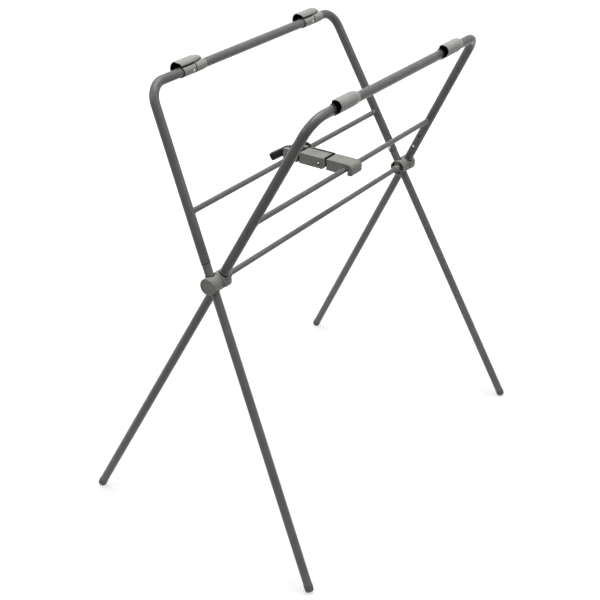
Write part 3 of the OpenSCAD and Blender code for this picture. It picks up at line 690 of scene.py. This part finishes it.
@dataclass
class TubClips(Assembly):
    """The four clips on the top bars: a sleeve round the tube, and a curled flap that holds the bath's rim."""

    inset: tuple[float, ...] = (75.0, 152.0, 78.0, 164.0)
    # Sleeve, along the tube from its slanted open end
    bore: float = 10.05
    sleeve_r: float = 11.8
    sleeve_from: float = 7.0
    slant: float = 16.0
    sleeve_to: float = 86.0
    taper: float = 22.0
    end_wall: float = 0.25
    edge_run: float = 0.7
    edge_deep: float = 0.5
    # Groove and fixing screw, and how deep both lie in the sleeve
    groove_at: float = 49.8
    groove_half: float = 1.6
    screw_at: float = 42.0
    screw_turn: float = 97.0
    dimple_r: float = 3.2
    dimple_soft: float = 0.25
    deep: float = 0.8
    # Flap: arc, curl of its free edge, scoop and corner of its open end, and shoulder
    flap_r: float = 14.48
    flap_wall: float = 1.8
    flap_off: float = 11.0
    flap_lean: float = 48.0
    flap_arc: Pair = (-78.0, 138.0)
    flap_curl: float = 20.0
    curl_from: float = 50.0
    curl_run: float = 34.0
    scoop: float = 3.5
    corner: float = 8.0
    corner_from: float = 0.45
    shoulder_from: float = 56.0
    tip_r: float = 2.1
    # Black sheet of painted shade inside the flap, for the shadowed hollow under it
    lining_t: float = 0.8
    lining_to: float = 42.0
    lining_round: float = 8.0
    lining_back: Pair = (0.7, 2.0)
    lining_gap: float = 0.35
    lining_tip: float = 0.3
    # Black rings of painted shade at the open end and in the groove, and a black skin of painted shade between flap
    # and sleeve with its rib, filling the shadowed slit
    lip_half: float = 0.75
    groove_ring_in: float = 0.48
    groove_ring_half: Pair = (0.55, 1.472)
    cuff_to: float = 44.0
    cuff_arc: Pair = (48.0, 76.0)
    cuff_edge: float = 0.4
    cuff_off: float = 0.1
    cuff_half: float = 0.2
    rib_up: Pair = (75.0, 20.0)
    rib_down: Pair = (114.0, 8.0)
    rib_rise: float = 2.1

    def open_end(self, across: np.ndarray) -> np.ndarray:
        """Where the sleeve starts: sleeve_from less sleeve_r times the share across, times tan(slant)."""
        return self.sleeve_from - self.sleeve_r * across * math.tan(math.radians(self.slant))

    def sleeve_radius(self, x: np.ndarray) -> np.ndarray:
        """Outside radius of the sleeve: even, then a quarter oval down to the tube over the taper's length."""
        t = np.clip((x - self.sleeve_to + self.taper) / self.taper, 0, 1)
        end = self.bore + self.end_wall
        return end + (self.sleeve_r - end) * np.sqrt(1 - t * t)

    def sleeve(self) -> Grid:
        """The sleeve, along X from its open end, with Y outward and Z up.

        The outside is sleeve_radius(x), less a round-bottomed ring groove and a dimple round the fixing screw.
        It is carried round the tube while its start slides along by tan(slant) times y, and the inside
        runs back along the bore, so that the grid closes on itself.

        Returns:
            A grid of points that wraps both ways.
        """
        angle = circle(120)[None, :]
        y, z = np.cos(angle), np.sin(angle)
        t = np.linspace(0, 1, 150)[:, None]
        start = self.open_end(y)
        x = start + (self.sleeve_to - start) * t
        groove = np.sqrt(np.maximum(0, 1 - ((x - self.groove_at) / self.groove_half) ** 2))
        turned = math.radians(90 + self.screw_turn)
        apart = np.hypot(x - self.screw_at, self.sleeve_r * np.angle(np.exp(1j * (angle - turned))))
        dimple = 1 / (1 + np.exp((apart - self.dimple_r) / self.dimple_soft))
        edge = 1 - np.minimum(1, (x - start) / self.edge_run)
        rounded = self.edge_deep * (1 - np.sqrt(np.maximum(0, 1 - edge ** 2)))
        r = self.sleeve_radius(x) - self.deep * (groove + dimple) - rounded
        return np.concatenate([joined(x, r * y, r * z), joined(x, self.bore * y, self.bore * z)[::-15]])

    def sheet(self, edge: float, to: float, back: float, outer: Callable[[np.ndarray], np.ndarray],
              wall: float) -> Grid:
        """A curled sheet about the flap's axis, in the sleeve's axes.

        Its section is a wall with round edges along flap_arc at the radius outer(x). Near the open end the free
        edge curls on by flap_curl, which fades by a smooth step. The open end starts at a scoop, a squared cosine
        about the arc's middle, plus a smooth step that cuts the free corner round.

        Args:
            edge: How far the open end lies behind the flap's own.
            to: Where the sheet ends along the clip.
            back: Degrees by which both edges of the arc stand back from the flap's own.
            outer: Outside radius by the place along the clip.
            wall: Thickness of the sheet.

        Returns:
            A grid of points whose columns wrap; both ends close on the wall's middle.
        """
        part, thick = wall_section(160)
        start = edge + self.scoop * np.cos(part * math.pi / 2) ** 2
        start = start + self.corner * smooth((part - self.corner_from) / (1 - self.corner_from))
        u = dense(110)[:, None]
        x = start + (to - start) * u
        radius = outer(x)
        half = np.minimum(wall, 0.9 * radius) / 2
        r = radius - half + half * thick * blunt(u, 0.02)
        free = self.flap_arc[1] + self.flap_curl * (1 - smooth((x - self.curl_from) / self.curl_run)) - back
        root = self.flap_arc[0] + back
        phi = np.radians(root + (free - root) * (part + 1) / 2)
        lean = math.radians(self.flap_lean)
        return joined(x, self.flap_off * math.cos(lean) + r * np.cos(phi),
                      self.flap_off * math.sin(lean) + r * np.sin(phi))

    def flap_radius(self, x: np.ndarray) -> np.ndarray:
        """Outside radius of the flap: even, then down to tip_r over the shoulder as (1 - t squared) to the 0.6."""
        t = np.clip((x - self.shoulder_from) / (self.sleeve_to - self.shoulder_from), 0, 1)
        return self.tip_r + (self.flap_r - self.tip_r) * (1 - t * t) ** 0.6

    def lining_radius(self, x: np.ndarray) -> np.ndarray:
        """Outside radius of the black sheet of painted shade: just inside the flap, then a quarter oval down to the
        flap's axis.
        """
        t = np.clip((x - self.lining_to + self.lining_round) / self.lining_round, 0, 1)
        return self.lining_tip + (self.flap_r - self.flap_wall - self.lining_gap) * np.sqrt(1 - t * t)

    def rings(self) -> Grid:
        """Black rings of painted shade on the sleeve: a round section along its slanted edge, and an oval one in its
        groove.
        """
        angle, v = circle(96)[:, None], circle(12)[None, :]
        y, z = np.cos(angle), np.sin(angle)
        r = self.sleeve_r - self.deep + self.lip_half * np.cos(v)
        lip = joined(self.open_end(y) + self.lip_half * np.sin(v), r * y, r * z)
        loop = ring(self.sleeve_r - self.groove_ring_in, self.groove_at, *self.groove_ring_half, 96)
        return np.stack([lip, turn(loop, "Y", 90).transpose(1, 0, 2)])

    def cuff(self) -> Grid:
        """Black skin of painted shade on the sleeve inside the flap, filling the shadowed slit under its free edge: a
        thin arc with a rib, which rises and falls by smooth steps.
        """
        part, thick = wall_section(120)
        degrees = self.cuff_arc[0] + self.cuff_arc[1] * part
        y, z = np.cos(np.radians(degrees)), np.sin(np.radians(degrees))
        start = self.open_end(y) - self.cuff_edge
        u = dense(40)[:, None]
        x = start + (self.cuff_to - start) * u
        up, down = (smooth((degrees - at) / run) for at, run in (self.rib_up, self.rib_down))
        shade_rib = self.rib_rise * up * (1 - down) * blunt(u, 0.12) * (thick > 0)
        r = self.sleeve_r + self.cuff_off + self.cuff_half * thick * blunt(u, 0.03) + shade_rib
        return joined(x, r * y, r * z)

    def screw_head(self) -> Grid:
        """Head of the fixing screw with its socket: a stepped profile turned about the screw's axis."""
        at = self.sleeve_r - self.deep
        profile = np.array([(0, at - 1), (2.5, at - 1), (2.6, at - 0.9), (2.6, at + 0.1), (2.4, at + 0.4),
                            (1.9, at + 0.6), (1.25, at + 0.66), (1.1, at + 0.6), (1.05, at + 0.15), (0, at + 0.12)])
        head = turn(lathe(profile, 32), "X", self.screw_turn)
        return head + np.array([self.screw_at, 0, 0])

    def place(self, points: Grid, leg: Leg) -> Grid:
        """Carry points from a clip's axes to its place on a top bar.

        Args:
            points: Points in millimetres, X along the tube, Y outward and Z up.
            leg: The leg at whose end of the top bar the clip is.
        """
        side = leg.side.value
        lean = math.radians(SIZES.lean)
        out = leg.end.value * (SIZES.bend_corner - self.inset[LEGS.index(leg)])
        start = np.array([out, side * SIZES.top_reach * math.sin(lean),
                          SIZES.axle_h + SIZES.top_reach * math.cos(lean)])
        return points * np.array([1, side, 1]) + start

    def build(self, wardrobe: Wardrobe) -> None:
        """Make the clips' shells with their black rings and skins of painted shade, the black sheets of painted shade
        inside the flaps, and the screws' heads.
        """
        flap = self.sheet(0.0, self.sleeve_to, 0.0, self.flap_radius, self.flap_wall)
        edge, back = self.lining_back
        shade_sheet = self.sheet(edge, self.lining_to, back, self.lining_radius, self.lining_t)
        for leg in LEGS:
            clip = f"clip_{leg.tag}"
            for name, points, wrap_u, finish, instead in (
                    ("clip_sleeve", self.sleeve(), True, CLIP_PP, False),
                    ("clip_flap", flap, False, CLIP_PP, True),
                    ("clip_rings", self.rings(), True, BLACK_ACETAL_AND_SHADE, False),
                    ("clip_cuff", self.cuff(), False, BLACK_ACETAL_AND_SHADE, False)):
                wardrobe.make(f"{name}_{leg.tag}", self.place(points, leg), wrap_u, finish, clip, instead)
        for side in Side:
            for name, points, finish, node in (
                    # The black sheets of painted shade stand in the place of the clip_linings nodes
                    ("clip_lining_sheets", shade_sheet, BLACK_ACETAL_AND_SHADE, "clip_linings"),
                    ("clip_screw_heads", self.screw_head(), ZINC_STEEL, "clip_screws")):
                both = np.stack([self.place(points, Leg(side, end)) for end in End])
                wardrobe.make(f"{name}_{side.tag}", both, False, finish, f"{node}_{side.tag}", True)


@dataclass
class Brace(Assembly):
    """The folding brace between the cross bars: clamp, core, housing, hook, lever, pins and spring."""

    # Hook's pin: heads, and on the cheeks black rings and spots of painted shade for the recess round each head and
    # the shadow below it
    head_r: float = 2.7
    head_h: float = 0.8
    head_sunk: float = 0.1
    ring_out: float = 0.9
    ring_half: Pair = (0.85, 0.3)
    stop_r: float = 2.1
    stop_h: float = 0.4
    stop_sunk: float = 0.05
    stop_at: Pair = (0.6, -5.2)
    # Grip over the lever's arm
    grip_half: Pair = (11.2, 8.6)
    grip_longer: float = 8.5
    grip_start: float = 2.0
    ridge_mm: float = 3.4
    ridge: float = 0.09
    # Collar on the left cross bar, from the far cheek on
    collar_r: float = 17.4
    collar_bore: float = 6.1
    collar_x: Pair = (0.7, 8.3)
    collar_round: Pair = (1.5, 0.4)
    # Lower lip of the hook's nose
    jaw_at: Pair = (12.4, -6.9)
    jaw_half: Pair = (5.8, 6.2)
    jaw_inset: float = 2.05
    # Black strips of painted shade in the gaps: depth of each one's middle under the top, its half sizes, and where
    # they lie and end
    slot_x: Pair = (-20.6, -13.4)
    slot_strip: Pair = (1.2, 1.55)
    plate_strip: Point = (1.5, 2.0, 1.75)
    clamp_strip: Point = (3.3, 0.7, 3.2)
    strip_ends: float = 0.6
    slot_past: float = 1.0
    plate_back: float = 0.7
    clamp_past: float = 0.5
    # Black strip of painted shade on a cheek's end: share of it that runs straight, top, turn, and how far it stands
    # out and in
    cheek_straight: float = 0.4
    cheek_top: float = 9.0
    cheek_turn: float = 76.0
    cheek_proud: Pair = (0.5, 0.3)
    cheek_in: float = 0.85
    cheek_half: Pair = (0.9, 1.1)

    def from_brace(self, points: Grid) -> Grid:
        """Carry points from the brace (X across, Y from the left cross bar to the right, Z up) to the stand.

        Args:
            points: Points in millimetres in the brace's axes.
        """
        s = math.radians(SIZES.lean)
        place = np.array([SIZES.brace_x, SIZES.bar_reach * math.sin(s), SIZES.axle_h + SIZES.bar_reach * math.cos(s)])
        return points * np.array([-1, -1, 1]) + place

    def both_cheeks(self, shape: Grid, at: Pair = (0.0, 0.0)) -> Grid:
        """Carry a turned shape to both ends of the hook's pin.

        Args:
            shape: Grid of points about Z, which becomes the pin's axis.
            at: How far ahead of the pin and above it.
        """
        flat = np.stack([turn(shape, "Y", 90 * way) for way in (-1, 1)])
        return self.from_brace(flat + np.array([0, SIZES.pin_at + at[0], at[1]]))

    def dome(self, radius: float, height: float, sunk: float, rows: int, steps: int) -> Grid:
        """A dome on a cheek's face: (radius cos t, height sin t) up to a right angle, turned about Z.

        Args:
            radius: Its radius.
            height: Its height.
            sunk: How far its foot lies inside the cheek.
            rows: Number of rows.
            steps: Number of columns.
        """
        t = np.linspace(0, math.pi / 2, rows)
        face = SIZES.brace_w / 2 - sunk
        return lathe(joined(radius * np.cos(t), face + height * np.sin(t)), steps)

    def strip(self, start: Point, stop: Point, out: Point, half: Pair) -> Grid:
        """A straight strip of rounded section.

        Args:
            start: One end of its middle line, in the brace's axes.
            stop: The other end.
            out: Level direction across it.
            half: Half sizes along out and upward.
        """
        t = dense(48)[:, None]
        return self.from_brace(carried(np.array(start) * (1 - t) + np.array(stop) * t, out, UP, *half))

    def cheek_seal(self, way: int) -> Grid:
        """Black strip of painted shade on a cheek's end, for the shadowed gap there: straight down to the middle, then
        along the cheek's oval end.

        Args:
            way: -1 or 1, for the cheek.
        """
        t = dense(48)
        straight = self.cheek_straight
        angle = np.radians(np.clip((t - straight) / (1 - straight), 0, 1) * self.cheek_turn)
        reach = SIZES.housing_to - SIZES.pin_at + self.cheek_proud[0]
        half = SIZES.brace_h / 2 + self.cheek_proud[1]
        z = np.where(t < straight, self.cheek_top * (1 - t / straight), -half * np.sin(angle))
        x = way * (SIZES.brace_w / 2 - self.cheek_in)
        path = joined(x, SIZES.pin_at + reach * np.cos(angle), z)
        side = joined(0, np.cos(angle), -np.sin(angle))
        return self.from_brace(carried(path, ACROSS, side, *self.cheek_half))

    def seals(self) -> Grid:
        """Black strips of painted shade in the brace's gaps: in the slot, on the plate's end, on the clamp's end and
        on both cheeks' ends.
        """
        high, wide = SIZES.brace_h / 2, SIZES.brace_w / 2 - self.strip_ends
        slot, slot_half = sum(self.slot_x) / 2, (self.slot_x[1] - self.slot_x[0]) / 2
        plate, clamp = SIZES.plate_to - self.plate_back, SIZES.clamp_front + self.clamp_past
        depth, half = self.slot_strip
        strips = [self.strip((slot, clamp, high - depth), (slot, SIZES.plate_to + self.slot_past, high - depth),
                             ACROSS, (slot_half, half))]
        for y, (depth, *halves) in ((plate, self.plate_strip), (clamp, self.clamp_strip)):
            strips.append(self.strip((-wide, y, high - depth), (wide, y, high - depth), AHEAD, tuple(halves)))
        return np.stack([*strips, self.cheek_seal(-1), self.cheek_seal(1)])

    def grip(self) -> Grid:
        """Ribbed grip over the lever's arm: a squared oval along the sloping arm, swelling by a cosine at each rib."""
        t = dense(150)[:, None]
        slope = math.radians(180 + SIZES.grip_slope)
        along, across = np.array([0, math.cos(slope), math.sin(slope)]), (0, -math.sin(slope), math.cos(slope))
        length = SIZES.grip_len + self.grip_longer
        root = np.array([0, -SIZES.grip_from, SIZES.lever_up - 1])
        path = root + along * (self.grip_start + (length - self.grip_start) * t)
        swell = 1 + self.ridge * np.cos(TURN * length * t[:, 0] / self.ridge_mm)
        wide, high = self.grip_half
        return self.from_brace(carried(path, ACROSS, across, wide * swell, high * swell, 0.5, 0.04))

    def collar(self) -> Grid:
        """Large black collar beside the far cheek: a rounded disc with a bore, turned about the cross bar."""
        near, far = (SIZES.brace_w / 2 + x for x in self.collar_x)
        r, (wide, soft) = self.collar_r, self.collar_round
        profile = np.array([(self.collar_bore, near), (r - wide, near), (r - soft, near + soft), (r, near + wide),
                            (r, far - wide), (r - soft, far - soft), (r - wide, far), (self.collar_bore, far)])
        return self.from_brace(turn(lathe(profile, 72), "Y", -90))

    def jaw(self) -> Grid:
        """Thick lower lip of the hook's nose: an oval carried across the hook."""
        gap = 2 * SIZES.bar_reach * math.sin(math.radians(SIZES.lean))
        half = SIZES.brace_w / 2 - self.jaw_inset
        start = np.array([-half, gap + self.jaw_at[0], self.jaw_at[1]])
        path = start + 2 * half * np.array(ACROSS) * dense(60)[:, None]
        return self.from_brace(carried(path, AHEAD, UP, *self.jaw_half, 0.8))

    def build(self, wardrobe: Wardrobe) -> None:
        """Dress the brace, and add its pin's heads, the black rings, spots and strips of painted shade, its collar,
        grip and lip.
        """
        wardrobe.dress(HUB_NYLON, "bar_clamp", "brace_housing", "brace_hook")
        wardrobe.dress(BLACK_ACETAL_AND_SHADE, "brace_core", "release_lever", "bar_collars")
        wardrobe.dress(ZINC_STEEL, "hook_spring", "hook_pin", "lever_pin")
        heads = self.both_cheeks(self.dome(self.head_r, self.head_h, self.head_sunk, 9, 32))
        rings = self.both_cheeks(ring(self.head_r + self.ring_out, SIZES.brace_w / 2, *self.ring_half))
        shade_spots = self.both_cheeks(self.dome(self.stop_r, self.stop_h, self.stop_sunk, 7, 28), self.stop_at)
        for name, points, wrap_u, finish, node in (
                ("hook_pin_heads", heads, False, ZINC_STEEL, "hook_pin"),
                ("hook_pin_rings", rings, True, BLACK_ACETAL_AND_SHADE, "brace_housing"),
                ("hook_pin_stops", shade_spots, False, BLACK_ACETAL_AND_SHADE, "brace_housing"),
                ("brace_seals", self.seals(), False, BLACK_ACETAL_AND_SHADE, "brace_housing"),
                ("bar_collar_far", self.collar(), True, BLACK_ACETAL_AND_SHADE, "bar_collars"),
                ("lever_grip", self.grip(), False, GRIP_RUBBER, "release_lever"),
                ("hook_jaw", self.jaw(), False, HUB_NYLON, "brace_hook")):
            wardrobe.make(name, points, wrap_u, finish, node)


@dataclass
class Studio:
    """Plain pale floor, soft studio lamps and the camera."""

    lens: float = 72.74
    eye: Point = (-2.1009, -1.3362, 1.7677)
    right: Point = (0.55755, -0.82998, 0.01643)
    down: Point = (-0.39376, -0.28183, -0.87494)
    ahead: Point = (0.73082, 0.48135, -0.48395)
    fill: float = 0.20
    paper_glow: float = 0.66
    floor_half: float = 4500.0
    floor_drop: float = 0.2
    paper: str = "#A9A9A9"
    cloth: tuple[str, str] = ("#E0E0DE", "#484846")
    glow_from_to: Pair = (0.55, 1.9)
    cloth_from_to: Pair = (0.7, 1.4)
    aim: Point = (0.0, 0.0, 0.6)
    lamps: list[tuple[str, Point, float, float]] = field(default_factory=lambda: [
        ("lamp_overhead", (0.2, 0.1, 3.4), 2.4, 98.0),
        ("lamp_left", (-2.4, 1.6, 2.4), 0.8, 20.0),
        ("lamp_right", (0.9, -2.6, 2.2), 0.9, 13.0),
    ])

    def camera(self) -> None:
        """Set the camera at the photograph's viewing angle."""
        data = bpy.data.cameras.new("camera")
        data.sensor_width, data.lens = 36.0, self.lens
        data.clip_end = 50.0
        camera = bpy.data.objects.new("camera", data)
        up, back = -np.array(self.down), -np.array(self.ahead)
        camera.matrix_world = Matrix([*zip(self.right, up, back, self.eye), (0, 0, 0, 1)])
        bpy.context.scene.collection.objects.link(camera)
        bpy.context.scene.camera = camera

    def seen_by_eye(self, tree: bpy.types.NodeTree) -> bpy.types.NodeSocket:
        """One for camera, glossy and transmission rays, and nought for the rest.

        Args:
            tree: Node tree in which to add it.

        Returns:
            The output that holds it.
        """
        path = add(tree, "ShaderNodeLightPath")
        gloss = add(tree, "ShaderNodeMath", None, {0: path.outputs["Is Camera Ray"], 1: path.outputs["Is Glossy Ray"]},
                    operation="MAXIMUM")
        return add(tree, "ShaderNodeMath", None, {0: gloss.outputs[0], 1: path.outputs["Is Transmission Ray"]},
                   operation="MAXIMUM").outputs[0]

    def floor(self) -> None:
        """A wide floor that looks nearly white to the eye and keeps the stand's faint shadow."""
        line = np.linspace(-self.floor_half, self.floor_half, 9)
        x, y = np.meshgrid(line, line, indexing="ij")
        plane = surface("floor", joined(x, y, -self.floor_drop))
        if plane.data.polygons[0].normal.z < 0:
            plane.data.flip_normals()
        material = bpy.data.materials.new("floor_paper_white")
        material.use_nodes = True
        tree = material.node_tree
        tree.nodes.clear()
        seen = self.seen_by_eye(tree)
        paper = add(tree, "ShaderNodeBsdfDiffuse", {"Color": linear(self.paper)})
        spot = add(tree, "ShaderNodeNewGeometry").outputs["Position"]
        away = add(tree, "ShaderNodeVectorMath", None, {0: spot}, operation="LENGTH")
        level = ranged(tree, away.outputs["Value"], *self.glow_from_to, self.paper_glow)
        reach = ranged(tree, away.outputs["Value"], *self.cloth_from_to)
        tone = add(tree, "ShaderNodeMix", {FIRST: linear(self.cloth[0]), SECOND: linear(self.cloth[1])},
                   {FACTOR: reach}, data_type="RGBA")
        cloth = add(tree, "ShaderNodeBsdfDiffuse", None, {"Color": tone.outputs[MIXED]})
        glow = add(tree, "ShaderNodeEmission", {"Color": (1, 1, 1, 1)}, {"Strength": level})
        bright = add(tree, "ShaderNodeAddShader", None, {0: paper.outputs[0], 1: glow.outputs[0]})
        mixed = add(tree, "ShaderNodeMixShader", None, {0: seen, 1: cloth.outputs[0], 2: bright.outputs[0]})
        add(tree, "ShaderNodeOutputMaterial", None, {"Surface": mixed.outputs[0]})
        plane.data.materials.append(material)

    def light(self) -> None:
        """Three soft lamps and an even sky, white to the eye."""
        for name, place, size, watts in self.lamps:
            data = bpy.data.lights.new(name, "AREA")
            data.shape, data.size, data.energy = "SQUARE", size, watts
            lamp = bpy.data.objects.new(name, data)
            lamp.location = place
            aim = Vector(self.aim) - Vector(place)
            lamp.rotation_euler = aim.to_track_quat("-Z", "Y").to_euler()
            bpy.context.scene.collection.objects.link(lamp)
        world = bpy.data.worlds.new("studio")
        world.use_nodes = True
        tree = world.node_tree
        tree.nodes.clear()
        strength = ranged(tree, self.seen_by_eye(tree), 0.0, 1.0, self.fill)
        sky = add(tree, "ShaderNodeBackground", {"Color": (1, 1, 1, 1)}, {"Strength": strength})
        add(tree, "ShaderNodeOutputWorld", None, {"Surface": sky.outputs[0]})
        bpy.context.scene.world = world

    def build(self) -> None:
        """Set up the whole studio."""
        bpy.context.scene.view_settings.view_transform = "Standard"
        self.camera()
        self.floor()
        self.light()


def main() -> None:
    logging.basicConfig(level=logging.INFO, format="%(message)s")
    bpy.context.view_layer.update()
    Studio().build()
    wardrobe = Wardrobe()
    for part in (TubeFrames(), Feet(), Hubs(), SnapButtons(), TubClips(), Brace()):
        part.build(wardrobe)


if __name__ == "__main__":
    main()
